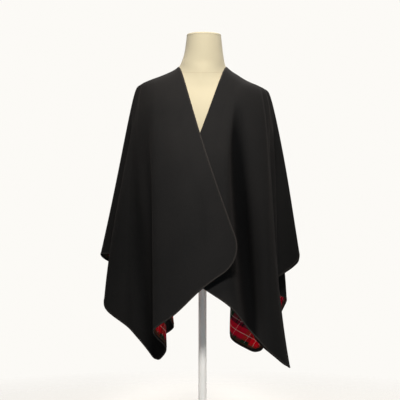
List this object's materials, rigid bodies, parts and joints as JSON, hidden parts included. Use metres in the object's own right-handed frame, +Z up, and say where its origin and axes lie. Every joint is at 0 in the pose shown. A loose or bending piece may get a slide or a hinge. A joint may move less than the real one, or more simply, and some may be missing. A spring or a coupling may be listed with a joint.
{
  "type": "poncho on a dress form",
  "caption": "Open-front wrap poncho of black cloth with a tartan inside, draped over a limbless dress form on a floor stand.",
  "frame": {"origin": "centre of the underside of the stand's round base", "axes": "+Z up along the stand's pole, -Y to the front of the garment, +X to the wearer's left"},
  "size_m": [0.6321, 0.3727, 1.4703],
  "materials": {
    "black_cloth": "matte wool cloth",
    "red_tartan_cloth": "matte woven tartan",
    "cream_jersey": "smooth jersey cover",
    "white_painted_steel": "satin white"
  },
  "bodies": {
    "root": {"poncho_right_front": "black_cloth", "poncho_left_front": "black_cloth", "poncho_back": "black_cloth", "tartan_right_front": "red_tartan_cloth", "tartan_left_front": "red_tartan_cloth", "tartan_back": "red_tartan_cloth", "form_torso": "cream_jersey", "form_neck_cap": "cream_jersey", "stand_base": "white_painted_steel", "stand_pole": "white_painted_steel", "stand_flange": "white_painted_steel"}
  },
  "joints": []
}
